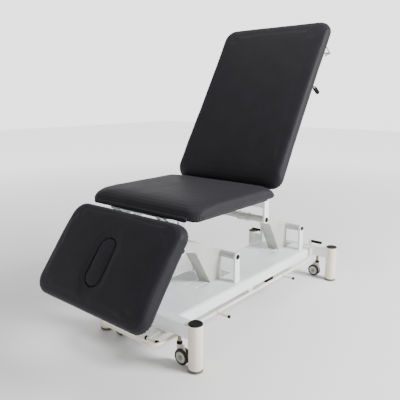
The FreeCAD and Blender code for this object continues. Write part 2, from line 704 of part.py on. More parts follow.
bar_y = s.bar_y.value
bar_z = s.bar_z.value
front_x = s.bar_front_x.value
rear_x = s.bar_rear_x.value
grip_z = s.grip_z.value
loop = [Vector(rear_x, -bar_y, grip_z), Vector(rear_x, -bar_y, bar_z), Vector(front_x, -bar_y, bar_z),
        Vector(front_x, bar_y, bar_z), Vector(rear_x, bar_y, bar_z), Vector(rear_x, bar_y, grip_z)]
bar_tube = swept(loop, s.bar_dia.value / 2, s.bar_bend.value)
bar_tube = solid(bar_tube, Placement())
pegs = []
tips = []
for hand in (-1, 1):
    for x, z, length in ((s.peg_front_x, s.bar_z, s.peg_length), (s.peg_rear_x, s.bar_z, s.peg_length)):
        pegs.append(rod("y", 14, length, x, s.bar_y if hand > 0 else -s.bar_y - length, z))
        tips.append(rod("y", 15, 9, x, s.bar_y + length if hand > 0 else -s.bar_y - length - 9, z))
    grip_from = s.bar_y + s.bar_dia / 2
    tips.append(rod("y", s.grip_dia, s.grip_length, s.bar_rear_x,
                    grip_from if hand > 0 else -grip_from - s.grip_length, s.grip_z - 10))
stubs = [rod("y", 14, 24, s.bar_pivot_x, -s.bar_y if hand < 0 else s.bar_y - 24, s.bar_z) for hand in (-1, 1)]
node(fuse(bar_tube, *pegs, *stubs), "foot_bar")
node(group(*tips), "foot_bar_grips")
hangers = [cut(box(36, 6, s.beam_bottom + 30 - s.bar_z + 16, s.bar_pivot_x - 18, (deck_in - 3) * hand - 3,
                   s.bar_z - 16),
               cross_rod(14 + s.shaft_play * 2, s.bar_y, s.bar_pivot_x, s.bar_z)) for hand in (-1, 1)]
node(group(*hangers), "foot_bar_hangers")

# Castor pedal: two short levers on a shaft under the front beam, with a capped cross bar
pedal_from = s.pedal_y - s.pedal_half
levers = []
for hand in (-1, 1):
    start = point(s.pedal_x, s.pedal_z, s.pedal_y + s.pedal_half * 0.6 * hand)
    reach = start + Vector(-s.pedal_reach.value, 0, -s.pedal_drop.value)
    levers.append(link(10, (reach - start).Length, start, reach))
pedal_bar = rod("y", 16, s.pedal_half * 2, s.pedal_x - s.pedal_reach, pedal_from, s.pedal_z - s.pedal_drop)
pedal_shaft = rod("y", 12, s.pedal_half * 2 + 8, s.pedal_x, pedal_from - 4, s.pedal_z)
pedal_caps = [rod("y", 20, 10, s.pedal_x - s.pedal_reach, y, s.pedal_z - s.pedal_drop)
              for y in (pedal_from - 10, pedal_from + s.pedal_half * 2)]
node(fuse(*levers, pedal_bar, pedal_shaft), "castor_pedal")
node(group(*pedal_caps), "castor_pedal_caps")

# Paper roll holder: a bent wire behind the back section's upper end, with a stay at each side
wire_x, wire_y, wire_z = 728.0, 316.0, s.rail_top.value - 4
low_x, low_z = 792.0, 588.0
bends = [(wire_x, -270, wire_z), (wire_x, -wire_y, wire_z), (low_x, -wire_y, low_z),
         (low_x, wire_y, low_z), (wire_x, wire_y, wire_z), (wire_x, 270, wire_z)]
wire = swept([Vector(*bend) for bend in bends], 4, 12)
wire = solid(wire, Placement())
stays = []
for hand in (-1, 1):
    stays.append(rod("z", 8, s.rail_top - 4 - 590, 786, (wire_y - 1) * hand, 590))
    stays.append(rod("y", 8, 46, 786, 270 if hand > 0 else -316, s.rail_top - 4))
node(turn_to(fuse(wire, *stays), back_turn), "paper_roll_holder")

# Release lever of the back section: a cross shaft with a hanging grip near the right edge
lever_x = 552
lever_z = s.rail_top - 13
grip_y = -s.width / 2 + 12
shaft_length = -s.side_rail_y - s.side_rail_width / 2 - grip_y + 4
lever = fuse(rod("y", 10, shaft_length, lever_x, grip_y - 4, lever_z),
             rod("z", 12, 40, lever_x, grip_y, lever_z - 40))
node(turn_to(lever, back_turn), "back_release_lever")
knob = cut(rod("z", 20, 46, lever_x, grip_y, lever_z - 54), rod("z", 12, 60, lever_x, grip_y, lever_z - 40))
node(turn_to(knob, back_turn), "back_release_grip")

# Build, test every object and write one file for each node
doc.recompute()
failed = [o.Name for o in doc.Objects if "Invalid" in o.State or "Error" in o.State]
if failed:
    raise RuntimeError(f"objects that failed: {failed}")
for obj in nodes:
    if obj.Shape.isNull() or not obj.Shape.isValid() or not obj.Shape.Solids:
        raise RuntimeError(f"{obj.Label} has no valid solid")
os.makedirs("parts", exist_ok=True)
for obj in nodes:
    obj.Shape.exportStep(f"parts/{obj.Label}.step")
print(len(nodes), "nodes")
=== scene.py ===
import bmesh
import bpy
import math
from mathutils import Matrix, Vector, noise
from mathutils.bvhtree import BVHTree


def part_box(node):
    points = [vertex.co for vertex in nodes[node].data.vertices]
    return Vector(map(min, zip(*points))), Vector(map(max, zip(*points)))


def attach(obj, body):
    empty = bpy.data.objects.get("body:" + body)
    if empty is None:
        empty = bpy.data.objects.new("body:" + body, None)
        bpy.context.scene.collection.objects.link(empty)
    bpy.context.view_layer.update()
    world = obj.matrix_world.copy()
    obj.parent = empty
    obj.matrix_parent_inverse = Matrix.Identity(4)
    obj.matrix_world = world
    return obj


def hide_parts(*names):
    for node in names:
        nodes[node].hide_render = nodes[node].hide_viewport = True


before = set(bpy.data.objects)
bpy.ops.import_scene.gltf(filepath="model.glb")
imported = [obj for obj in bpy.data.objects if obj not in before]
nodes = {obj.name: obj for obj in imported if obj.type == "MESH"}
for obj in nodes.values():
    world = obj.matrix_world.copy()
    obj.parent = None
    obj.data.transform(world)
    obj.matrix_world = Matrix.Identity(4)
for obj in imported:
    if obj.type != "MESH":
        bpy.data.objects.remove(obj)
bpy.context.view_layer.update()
print("frame loaded:", len(nodes), "nodes")


# camera at the photograph's place: metres and degrees
view = {"place": (-2.0005, -1.4446, 1.1378), "yaw": 39.88, "pitch": 12.44, "lens": 41.86,
        "shift": (-0.0024, -0.0031)}


def setCamera(settings):
    data = bpy.data.cameras.new("camera")
    data.lens = settings["lens"]
    data.sensor_width = 36  # millimetres
    data.shift_x, data.shift_y = settings["shift"]
    data.clip_end = 60
    camera = bpy.data.objects.new("camera", data)
    bpy.context.collection.objects.link(camera)
    yaw, pitch = math.radians(settings["yaw"]), math.radians(settings["pitch"])
    look = Vector((math.cos(pitch) * math.cos(yaw), math.cos(pitch) * math.sin(yaw), -math.sin(pitch)))
    camera.location = settings["place"]
    camera.rotation_euler = look.to_track_quat("-Z", "Y").to_euler()
    bpy.context.scene.camera = camera


setCamera(view)
print("camera set")


# colours are sRGB hex, turned to linear here
def hexColour(text):
    parts = [int(text[i:i + 2], 16) / 255 for i in (1, 3, 5)]
    return tuple(p / 12.92 if p <= 0.04045 else ((p + 0.055) / 1.055) ** 2.4 for p in parts) + (1.0,)


metre = 1000  # millimetres in it: pattern sizes are given in millimetres


# adds one node, sets its values by socket name or index, and links sockets given as (node, output);
# to is a link onwards: (output, node, input)
def addNode(tree, kind, inputs=None, to=None, **settings):
    item = tree.nodes.new(kind)
    for name, value in settings.items():
        setattr(item, name, value)
    for key, value in (inputs or {}).items():
        if isinstance(value, tuple) and len(value) == 2 and hasattr(value[0], "outputs"):
            tree.links.new(value[0].outputs[value[1]], item.inputs[key])
        else:
            item.inputs[key].default_value = value
    if to:
        output, target, socket = to
        tree.links.new(item.outputs[output], target.inputs[socket])
    return item


def newMaterial(name, **sockets):
    material = bpy.data.materials.new(name)
    material.use_nodes = True
    shader = material.node_tree.nodes["Principled BSDF"]
    for key, value in sockets.items():
        shader.inputs[key.replace("_", " ")].default_value = value
    return material, material.node_tree, shader


# a slow change between two colours, its patches a given number of millimetres across
def mottle(tree, shader, first, second, patchMm, low=0.35, high=0.65):
    place = addNode(tree, "ShaderNodeTexCoord")
    cloud = addNode(tree, "ShaderNodeTexNoise",
                    {"Vector": (place, "Object"), "Scale": metre / patchMm, "Detail": 4.0})
    ramp = addNode(tree, "ShaderNodeValToRGB", {"Fac": (cloud, "Fac")}, to=("Color", shader, "Base Color"))
    for element, position, colour in zip(ramp.color_ramp.elements, (low, high), (first, second)):
        element.position, element.color = position, hexColour(colour)
    return place, cloud


# polyester powder coat on steel: even gloss with a faint orange peel, slightly duller in patches
def powderCoat(name, light, dark, rough):
    material, tree, shader = newMaterial(name, Coat_Weight=0.25, Coat_Roughness=0.12)
    place, cloud = mottle(tree, shader, dark, light, 140)
    addNode(tree, "ShaderNodeMapRange",
            {"Value": (cloud, "Fac"), "To Min": rough - 0.06, "To Max": rough + 0.08},
            to=("Result", shader, "Roughness"))
    peel = addNode(tree, "ShaderNodeTexNoise",
                   {"Vector": (place, "Object"), "Scale": metre / 3.5, "Detail": 1.0})
    addNode(tree, "ShaderNodeBump", {"Height": (peel, "Fac"), "Strength": 0.12, "Distance": 0.25 / metre},
            to=("Normal", shader, "Normal"))
    return material


# upholstery vinyl: embossed leather grain over foam, a soft sheen and slow creases; the real grain
# is about 1 mm, drawn at 2.4 mm so that it shows
def upholsteryVinyl(name, light, dark):
    material, tree, shader = newMaterial(name, Specular_IOR_Level=0.14, Sheen_Weight=0.015,
                                         Sheen_Roughness=0.5)
    place, cloud = mottle(tree, shader, dark, light, 90, low=0.3, high=0.7)
    cells = addNode(tree, "ShaderNodeTexVoronoi", {"Vector": (place, "Object"), "Scale": metre / 2.4},
                    feature="DISTANCE_TO_EDGE")
    fine = addNode(tree, "ShaderNodeTexNoise",
                   {"Vector": (place, "Object"), "Scale": metre / 1.3, "Detail": 3.0})
    crease = addNode(tree, "ShaderNodeTexNoise",
                     {"Vector": (place, "Object"), "Scale": metre / 55, "Detail": 5.0})
    addNode(tree, "ShaderNodeMapRange", {"Value": (cloud, "Fac"), "To Min": 0.52, "To Max": 0.64},
            to=("Result", shader, "Roughness"))
    grain = addNode(tree, "ShaderNodeBump",
                    {"Height": (cells, "Distance"), "Strength": 0.13, "Distance": 0.3 / metre})
    pores = addNode(tree, "ShaderNodeBump",
                    {"Height": (fine, "Fac"), "Strength": 0.1, "Distance": 0.2 / metre,
                     "Normal": (grain, "Normal")})
    addNode(tree, "ShaderNodeBump", {"Height": (crease, "Fac"), "Strength": 0.1, "Distance": 1.2 / metre,
                                     "Normal": (pores, "Normal")}, to=("Normal", shader, "Normal"))
    return material


# injection-moulded plastic: fine spark-eroded texture, a little lighter in patches
def mouldedPlastic(name, light, dark, rough, ior=1.49):
    material, tree, shader = newMaterial(name, IOR=ior)
    place, cloud = mottle(tree, shader, dark, light, 35)
    addNode(tree, "ShaderNodeMapRange",
            {"Value": (cloud, "Fac"), "To Min": rough - 0.07, "To Max": rough + 0.07},
            to=("Result", shader, "Roughness"))
    grain = addNode(tree, "ShaderNodeTexNoise",
                    {"Vector": (place, "Object"), "Scale": metre / 1.2, "Detail": 2.0})
    addNode(tree, "ShaderNodeBump", {"Height": (grain, "Fac"), "Strength": 0.14, "Distance": 0.15 / metre},
            to=("Normal", shader, "Normal"))
    return material


# drawn or plated steel: fine lines along one axis, with cloudy plating
def drawnSteel(name, light, dark, rough, along):
    material, tree, shader = newMaterial(name, Metallic=1.0)
    place, _ = mottle(tree, shader, dark, light, 30)
    stretch = [metre / 1.2] * 3
    stretch["XYZ".index(along)] = metre / 40
    lines = addNode(tree, "ShaderNodeMapping", {"Vector": (place, "Object"), "Scale": stretch})
    scratch = addNode(tree, "ShaderNodeTexNoise", {"Vector": (lines, "Vector"), "Scale": 1.0, "Detail": 2.0})
    addNode(tree, "ShaderNodeMapRange",
            {"Value": (scratch, "Fac"), "To Min": rough - 0.08, "To Max": rough + 0.12},
            to=("Result", shader, "Roughness"))
    addNode(tree, "ShaderNodeBump", {"Height": (scratch, "Fac"), "Strength": 0.08, "Distance": 0.08 / metre},
            to=("Normal", shader, "Normal"))
    return material


# soft rubber, or thread as matt as it: dull, with small darker patches
def softRubber(name, light, dark, rough):
    material, tree, shader = newMaterial(name, IOR=1.52, Specular_IOR_Level=0.35)
    place, cloud = mottle(tree, shader, dark, light, 14)
    addNode(tree, "ShaderNodeMapRange",
            {"Value": (cloud, "Fac"), "To Min": rough - 0.06, "To Max": rough + 0.1},
            to=("Result", shader, "Roughness"))
    grain = addNode(tree, "ShaderNodeTexNoise",
                    {"Vector": (place, "Object"), "Scale": metre / 2.0, "Detail": 3.0})
    addNode(tree, "ShaderNodeBump", {"Height": (grain, "Fac"), "Strength": 0.2, "Distance": 0.2 / metre},
            to=("Normal", shader, "Normal"))
    return material


# bonded dust cover under the boards: a flat felt of black fibres, slightly furry
def dustCover(name, light, dark):
    material, tree, shader = newMaterial(name, Sheen_Weight=0.25, Sheen_Roughness=0.6, Specular_IOR_Level=0.1)
    place, _ = mottle(tree, shader, dark, light, 6)
    fibre = addNode(tree, "ShaderNodeTexNoise",
                    {"Vector": (place, "Object"), "Scale": metre / 1.4, "Detail": 5.0, "Distortion": 1.2})
    addNode(tree, "ShaderNodeMapRange", {"Value": (fibre, "Fac"), "To Min": 0.78, "To Max": 0.95},
            to=("Result", shader, "Roughness"))
    addNode(tree, "ShaderNodeBump", {"Height": (fibre, "Fac"), "Strength": 0.35, "Distance": 0.3 / metre},
            to=("Normal", shader, "Normal"))
    return material


# castor wheel: grey-green disc with a paler ring, black tread outside it, drawn as rings from the axle out
def castorWheel(name, axle, radius):
    material, tree, shader = newMaterial(name, IOR=1.5)
    place = addNode(tree, "ShaderNodeTexCoord")
    away = addNode(tree, "ShaderNodeVectorMath", {0: (place, "Object"), 1: axle}, operation="SUBTRACT")
    plane = addNode(tree, "ShaderNodeVectorMath", {0: (away, 0), 1: (0, 1, 1)}, operation="MULTIPLY")
    reach = addNode(tree, "ShaderNodeVectorMath", {0: (plane, 0)}, operation="LENGTH")
    share = addNode(tree, "ShaderNodeMath", {0: (reach, "Value"), 1: radius}, operation="DIVIDE")
    rings = addNode(tree, "ShaderNodeValToRGB", {"Fac": (share, 0)}, to=("Color", shader, "Base Color"))
    stops = ((0.0, "#6F7066"), (0.30, "#75766B"), (0.33, "#A9AA9C"), (0.64, "#B3B4A6"), (0.70, "#86877B"),
             (0.735, "#131313"), (1.0, "#1C1C1C"))
    while len(rings.color_ramp.elements) < len(stops):
        rings.color_ramp.elements.new(0.5)
    for element, (position, colour) in zip(rings.color_ramp.elements, stops):
        element.position, element.color = position, hexColour(colour)
    addNode(tree, "ShaderNodeMapRange", {"Value": (share, 0), "From Min": 0.66, "From Max": 0.74,
                                         "To Min": 0.36, "To Max": 0.68}, to=("Result", shader, "Roughness"))
    grain = addNode(tree, "ShaderNodeTexNoise",
                    {"Vector": (place, "Object"), "Scale": metre / 1.5, "Detail": 3.0})
    addNode(tree, "ShaderNodeBump", {"Height": (grain, "Fac"), "Strength": 0.15, "Distance": 0.15 / metre},
            to=("Normal", shader, "Normal"))
    return material


finish = {
    "white": powderCoat("white_powder_coat", "#EEF0F1", "#E4E7EA", 0.3),
    "cream": powderCoat("cream_powder_coat", "#EFE7D6", "#E3DAC6", 0.34),
    # the frame's white, darkened: painted shade standing in for the shade on the lift arms' front faces
    "paintedShade": powderCoat("white_powder_coat_painted_shade", "#B9BBB4", "#ABADA5", 0.4),
    "vinyl": upholsteryVinyl("charcoal_upholstery_vinyl", "#232227", "#1E1E22"),
    "bright": drawnSteel("bright_zinc_plate", "#C9CBCD", "#AEB0B3", 0.28, "Y"),
    "stem": drawnSteel("yellowed_zinc_stem", "#9A8873", "#7C6C5B", 0.4, "Z"),
    "black": mouldedPlastic("black_moulded_nylon", "#070707", "#030303", 0.45, ior=1.25),
    "grey": mouldedPlastic("grey_moulded_abs", "#7E817F", "#6E716F", 0.45),
    "hood": mouldedPlastic("pale_moulded_nylon", "#C4C2B8", "#B3B1A6", 0.45),
    "darkSteel": powderCoat("black_enamelled_steel", "#131415", "#0B0C0D", 0.35),
    "foot": softRubber("grey_foot_rubber", "#6F695F", "#57524A", 0.6),
    "hub": mouldedPlastic("olive_grey_hub_cap", "#8A8B80", "#767768", 0.4),
    "cover": dustCover("black_dust_cover", "#141416", "#0C0C0E"),
    "thread": softRubber("black_bonded_thread", "#1A1A1D", "#101012", 0.55),
}

plainFinish = {
    "black": ("leg_caps", "lower_pivot_caps", "upper_pivot_caps", "control_box", "back_release_grip",
              "foot_bar_grips", "castor_pedal_caps"),
    "cream": tuple(n for n in nodes if n.startswith("leg_post")) + ("foot_bar", "castor_pedal"),
    "bright": tuple(n for n in nodes if n.endswith(("_shaft", "hinge_pin", "spring_rod")))
              + ("actuator_rod", "paper_roll_holder", "back_release_lever"),
    "darkSteel": ("back_spring_cylinder", "head_spring_cylinder"),
    "stem": ("castor_stems",), "foot": ("leg_feet",), "grey": ("lift_actuator",),
    "hood": tuple(n for n in nodes if n.startswith("castor_hood")),
    # the lift arms take the darkened white, painted shade
    "cover": ("seat_board", "back_board", "head_board"), "paintedShade": ("front_lift_arm", "rear_lift_arm"),
    "vinyl": ("seat_cushion", "back_cushion", "head_cushion", "face_hole_plug"),
}


def paint(thing, material):
    thing.data.materials.clear()
    thing.data.materials.append(material)


for thing in nodes.values():
    paint(thing, finish["white"])
for key, names in plainFinish.items():
    for name in names:
        paint(nodes[name], finish[key])
for name in (n for n in nodes if n.startswith("castor_wheels")):
    low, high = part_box(name)
    axle = [(low[k] + high[k]) / 2 for k in range(3)]
    paint(nodes[name], castorWheel(name.replace("castor_wheels", "wheel"), axle, (high[2] - low[2]) / 2))
print("materials on the frame")


# a mesh object with its modifiers made final
def settle(piece):
    depsgraph = bpy.context.evaluated_depsgraph_get()
    done = bpy.data.meshes.new_from_object(piece.evaluated_get(depsgraph), depsgraph=depsgraph)
    piece.modifiers.clear()
    old, piece.data = piece.data, done
    bpy.data.meshes.remove(old)


def newPiece(name, mesh):
    piece = bpy.data.objects.new(name, mesh)
    bpy.context.collection.objects.link(piece)
    return piece


def smoothShade(mesh):
    mesh.polygons.foreach_set("use_smooth", [True] * len(mesh.polygons))


# a finished piece: its material, smooth shading and body
def dress(piece, material, body):
    paint(piece, material)
    smoothShade(piece.data)
    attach(piece, body)


# from a section's flat place, pad underside at height 0, to where it stands
def sectionPlace(hinge, tilt, lift):
    turn = Matrix.Rotation(-math.radians(tilt), 4, "Y")
    return Matrix.Translation((hinge[0], 0, hinge[1])) @ turn @ Matrix.Translation((0, 0, lift))


sections = {
    "seat": sectionPlace((0, 0.664), 0, 0),
    "back": sectionPlace((-0.076, 0.653), 58.9, 0.011),
    "head": sectionPlace((-0.686, 0.653), 52.9, 0.011),
}

# pads as sewn: cell is the cloth's mesh, tuck how much lower it starts, most how far a point may swell,
# give how far it may stand off the foam; ends are along the section, and stuff and domeUp tell the rest
cushions = {
    "seat": {"node": "seat_cushion", "body": "top_frame", "place": "seat",
             "cell": 0.0070, "tuck": 0.004, "most": 0.0055, "give": 0.0022,
             "ends": (-0.700, -0.084), "eased": ((-0.084, 0.10, 0.0), (-0.700, 0.16, 0.2)),
             "over": (0, 0.006), "fill": 0.85},
    "back": {"node": "back_cushion", "body": "back_section", "place": "back",
             "cell": 0.0078, "tuck": 0.004, "most": 0.0055, "give": 0.0022,
             "ends": (0.034, 0.978), "eased": ((0.034, 0.10, 0.0),), "over": (0.008, 0.008), "fill": 0.85},
    "head": {"node": "head_cushion", "body": "head_section", "place": "head",
             "cell": 0.0062, "tuck": 0.004, "most": 0.0055, "give": 0.0022,
             "ends": (-0.462, -0.026), "eased": (), "over": (0.006, 0.008), "dome": (0.006, 0.010),
             "fill": 0.85},
    "plug": {"node": "face_hole_plug", "body": "face_plug", "place": "head",
             "cell": 0.0032, "tuck": 0.003, "most": 0.0035, "give": 0.0015,
             "ends": (-0.366, -0.156), "fill": 0.7},
}
padHalf = 0.325  # half the pads' width
# the face hole: middle along the head, half its straight run, radius
faceHole = {"middle": -0.261, "run": 0.059, "radius": 0.046}


def holeDistance(point):
    along = point.x - faceHole["middle"]
    along -= max(-faceHole["run"], min(faceHole["run"], along))
    return math.hypot(along, point.y), math.atan2(point.y, along)


# the vinyl as cloth, held below the stapled height
coverCloth = {"stapled": 0.009, "quality": 4, "mass": 0.35, "stretch": 25, "shear": 9, "bend": 12,
              "pressure": 4, "steps": 20}


# cloth filled from inside: swells between its fixed underside and the limit of its cut
def fillCloth(piece, most):
    mesh = piece.data
    starts = [vertex.co.copy() for vertex in mesh.vertices]
    pins = piece.vertex_groups.new(name="stapled")
    pins.add([v.index for v in mesh.vertices if v.co.z < coverCloth["stapled"]], 1.0, "REPLACE")
    cloth = piece.modifiers.new("fill", "CLOTH")
    cloth.settings.quality = coverCloth["quality"]
    cloth.settings.mass = coverCloth["mass"]
    cloth.settings.tension_stiffness = cloth.settings.compression_stiffness = coverCloth["stretch"]
    cloth.settings.shear_stiffness = coverCloth["shear"]
    cloth.settings.bending_stiffness = coverCloth["bend"]
    cloth.settings.vertex_group_mass = pins.name
    cloth.settings.use_pressure = True
    cloth.settings.uniform_pressure_force = coverCloth["pressure"]
    cloth.settings.effector_weights.gravity = 0
    cloth.collision_settings.use_collision = False
    for step in range(1, coverCloth["steps"] + 1):
        bpy.context.scene.frame_set(step)
    settle(piece)
    bpy.context.scene.frame_set(1)
    for vertex, start in zip(piece.data.vertices, starts):
        move = vertex.co - start
        if move.length > most:
            vertex.co = start + move.normalized() * most
    piece.vertex_groups.clear()


# hollows are (waves to a metre, depth, shift); a rim sinks towards the face hole's edge and fades from it
drawn = {
    "hollows": ((9.0, 0.0011, Vector((0, 0, 0))), (31.0, 0.0003, Vector((3, 1, 2)))),
    "above": 0.03,
    "plugRim": {"fade": 0.008, "sink": 0.0038, "gather": 0.0017, "turns": 13, "run": 330,
                "uneven": (0.7, 0.5, 60.0)},
    "headRim": {"fade": 0.010, "sink": 0.0042, "gather": 0.0006, "turns": 17, "run": 210},
    "corner": {"inset": 0.055, "side": 0.270, "below": 0.022, "gather": 0.0016, "turns": 26},
}


# drawn vinyl: faint hollows all over, gathers at the corners' lower edges,
# a soft rim round the face hole
def drawVinyl(mesh, ends, key):
    low, high = ends
    radius, above, corners = faceHole["radius"], drawn["above"], drawn["corner"]
    ways = [vertex.normal.copy() for vertex in mesh.vertices]
    for vertex, way in zip(mesh.vertices, ways):
        co = vertex.co
        co += way * sum(noise.noise(co * waves + shift) * depth for waves, depth, shift in drawn["hollows"])
        if key == "plug":
            rim = drawn["plugRim"]
            reach, turn = holeDistance(co)
            near = math.exp(-max(0.0, radius - reach) / rim["fade"])
            if co.z > above:
                base, change, waves = rim["uneven"]
                gather = math.sin(turn * rim["turns"] + co.x * rim["run"])
                gather *= base + change * noise.noise(co * waves)
                co.z += near * (rim["gather"] * gather - rim["sink"])
        else:
            nearEnd, inward = (low, 1) if co.x < (low + high) / 2 else (high, -1)
            corner = Vector((nearEnd + inward * corners["inset"], math.copysign(corners["side"], co.y)))
            out = Vector((co.x, co.y)) - corner
            if co.z < corners["below"] and out.x * inward < 0 and out.y * co.y > 0:
                gather = math.sin(math.atan2(out.y, out.x) * corners["turns"]) * corners["gather"]
                push = out.normalized() * gather * (1 - max(0.0, co.z) / corners["below"])
                co.x += push.x
                co.y += push.y
        if key == "head":
            rim = drawn["headRim"]
            reach, turn = holeDistance(co)
            near = math.exp(-max(0.0, reach - radius) / rim["fade"])
            if co.z > above:
                gather = math.sin(turn * rim["turns"] + co.x * rim["run"])
                co.z -= near * (rim["sink"] + rim["gather"] * gather)


# foam stuffed full at the edges: heights as parts of the pad's thickness, as cut and as filled, how far the
# overdraw reaches in, and how deep a hollow may be as a part of the give
foamRise = {"thick": 0.059, "cut": (0, 0.085, 0.19, 0.32, 0.49, 0.66, 0.8, 0.9, 0.97, 1),
            "full": (0, 0.10, 0.28, 0.58, 0.80, 0.91, 0.955, 0.98, 0.995, 1), "overFade": 0.09,
            "hollow": 0.3}


# eased ends keep more of their cut: (place, length, least) of each
# over is how much further the cover is drawn at its upper end and at its sides
def stuff(mesh, eased, over, end):
    cut, full = foamRise["cut"], foamRise["full"]
    for vertex in mesh.vertices:
        co = vertex.co
        share = co.z / foamRise["thick"]
        free = 1.0
        for spot, length, least in eased:
            near = min(1.0, abs(co.x - spot) / length)
            free = min(free, least + (1 - least) * near * near * (3 - 2 * near))
        if 0 < share < 1:
            k = max(i for i in range(len(cut) - 1) if cut[i] <= share)
            part = (share - cut[k]) / (cut[k + 1] - cut[k])
            co.z += foamRise["thick"] * free * (full[k] + part * (full[k + 1] - full[k]) - share)
        rise = max(0.0, min(1.0, share))
        nearEnd = max(0.0, 1 - abs(co.x - end) / foamRise["overFade"])
        co.x += rise * (over[0] * nearEnd)
        co.y *= 1 + over[1] / padHalf


# the head pad swells towards the middle of its length: (outwards at the sides, upwards)
def domeUp(mesh, dome, ends):
    middle, half = (ends[0] + ends[1]) / 2, (ends[1] - ends[0]) / 2
    for vertex in mesh.vertices:
        co = vertex.co
        swell = max(0.0, 1 - ((co.x - middle) / half) ** 2)
        co.y *= 1 + swell * dome[0] / padHalf
        co.z += swell * dome[1] * max(0.0, min(1.0, co.z / foamRise["thick"]))


# the foam holds the vinyl near its cut: past the give, a fold flattens out, and a hollow sooner than a swell
def holdToFoam(mesh, foam, give):
    surface = BVHTree.FromPolygons([v.co for v in foam.vertices], [p.vertices for p in foam.polygons])
    for vertex in mesh.vertices:
        spot, way = surface.find_nearest(vertex.co)[:2]
        proud = (vertex.co - spot).dot(way)
        room = give if proud > 0 else give * foamRise["hollow"]
        vertex.co = spot + way * (room * math.tanh(proud / room))


# room round the face hole, and the seat's front seam: half its length, top, how far back it counts, its line
clearance = {"head": 0.0005, "plug": -0.0006,
             "seam": {"half": 0.295, "top": 0.015, "back": -0.6, "line": -0.6945}}


# nothing passes the cut of the face hole or the seat's front seam
def keepClear(mesh, key):
    seam = clearance["seam"]
    for vertex in mesh.vertices:
        co = vertex.co
        if key == "seat" and abs(co.y) < seam["half"] and co.z < seam["top"] and co.x < seam["back"]:
            co.x = max(co.x, seam["line"])
            co.z = max(co.z, 0.0)
        if key in ("head", "plug"):
            reach, turn = holeDistance(co)
            limit = faceHole["radius"] + clearance[key]
            if (key == "head" and reach < limit) or (key == "plug" and reach > limit):
                away = Vector((math.cos(turn), math.sin(turn))) * (limit - reach)
                co.x += away.x
                co.y += away.y


sameSpot = 0.00002  # corners nearer than this are one


def mergedCopy(mesh):
    copy = mesh.copy()
    work = bmesh.new()
    work.from_mesh(copy)
    bmesh.ops.remove_doubles(work, verts=work.verts, dist=sameSpot)
    work.to_mesh(copy)
    work.free()
    return copy


def makeCushion(key, settings):
    place = sections[settings["place"]]
    piece = newPiece(settings["node"] + "_vinyl", mergedCopy(nodes[settings["node"]].data))
    piece.data.transform(place.inverted())
    if key != "plug":
        stuff(piece.data, settings["eased"], settings["over"], settings["ends"][1])
    if settings["place"] == "head":
        domeUp(piece.data, cushions["head"]["dome"], cushions["head"]["ends"])
    foam = piece.data.copy()
    even = piece.modifiers.new("even", "REMESH")
    even.mode, even.voxel_size = "VOXEL", settings["cell"]
    settle(piece)
    keepClear(piece.data, key)
    ways = [vertex.normal.copy() for vertex in piece.data.vertices]
    for vertex, way in zip(piece.data.vertices, ways):
        vertex.co.z -= max(0.0, way.z) * settings["tuck"]
    fillCloth(piece, settings["most"])
    relax = piece.modifiers.new("relax", "SMOOTH")
    relax.factor, relax.iterations = 0.5, 6
    finer = piece.modifiers.new("finer", "SUBSURF")
    finer.levels = finer.render_levels = 1
    settle(piece)
    holdToFoam(piece.data, foam, settings["give"])
    drawVinyl(piece.data, settings["ends"], key)
    keepClear(piece.data, key)
    piece.data.transform(place)
    dress(piece, finish["vinyl"], settings["body"])
    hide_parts(settings["node"])
    print("cushion", key, len(piece.data.polygons), "faces")


for key, settings in cushions.items():
    makeCushion(key, settings)


# a turned piece: (radius, height) points spun about its own Z axis, then placed
def turned(name, profile, place, steps=36):
    mesh = bpy.data.meshes.new(name)
    work = bmesh.new()
    rings = []
    for radius, height in profile:
        angles = [2 * math.pi * k / steps for k in range(steps)]
        rings.append([work.verts.new((radius * math.cos(a), radius * math.sin(a), height)) for a in angles])
    for lower, upper in zip(rings, rings[1:]):
        for k in range(steps):
            work.faces.new((lower[k], lower[(k + 1) % steps], upper[(k + 1) % steps], upper[k]))
    work.faces.new(rings[-1])
    work.faces.new(rings[0][::-1])
    work.to_mesh(mesh)
    work.free()
    mesh.transform(place)
    return newPiece(name, mesh)


# a closed profile carried along Y, narrowing to rounded ends over the length of nose
def carried(name, profile, reach, steps, uneven, nose):
    mesh = bpy.data.meshes.new(name)
    work = bmesh.new()
    middle = sum((Vector(p) for p in profile), Vector((0, 0))) / len(profile)
    rings = []
    for k in range(steps + 1):
        y = -reach + 2 * reach * k / steps
        edge = min(1.0, max(0.0, (reach - abs(y)) / nose))
        grow = 0.35 + 0.65 * math.sqrt(1 - (1 - edge) ** 2)
        grow += uneven * noise.noise(Vector((0.3, y * 24.0, 0.7)))
        ring = [middle + (Vector(p) - middle) * grow for p in profile]
        rings.append([work.verts.new((p.x, y, p.y)) for p in ring])
    count = len(profile)
    for first, second in zip(rings, rings[1:]):
        for k in range(count):
            work.faces.new((first[k], first[(k + 1) % count], second[(k + 1) % count], second[k]))
    work.faces.new(rings[-1])
    work.faces.new(rings[0][::-1])
    bmesh.ops.recalc_face_normals(work, faces=work.faces)
    work.to_mesh(mesh)
    work.free()
    return newPiece(name, mesh)


# the rounded lip under the seat's front roll: vinyl drawn over a welt
seatLip = {"profile": ((-0.6985, -0.0085), (-0.7030, -0.0060), (-0.7053, -0.0010), (-0.7055, 0.0045),
                       (-0.7030, 0.0095), (-0.6985, 0.0125), (-0.6940, 0.0130), (-0.6925, 0.0095),
                       (-0.6925, 0.0030), (-0.6965, 0.0010), (-0.6975, -0.0040)),
           "reach": 0.285, "steps": 150, "uneven": 0.05, "nose": 0.010}


def makeSeatLip(settings):
    piece = carried("seat_front_lip", **settings)
    piece.data.transform(sections["seat"])
    finer = piece.modifiers.new("finer", "SUBSURF")
    finer.levels = finer.render_levels = 1
    settle(piece)
    dress(piece, finish["vinyl"], "top_frame")


makeSeatLip(seatLip)
print("seat lip made")


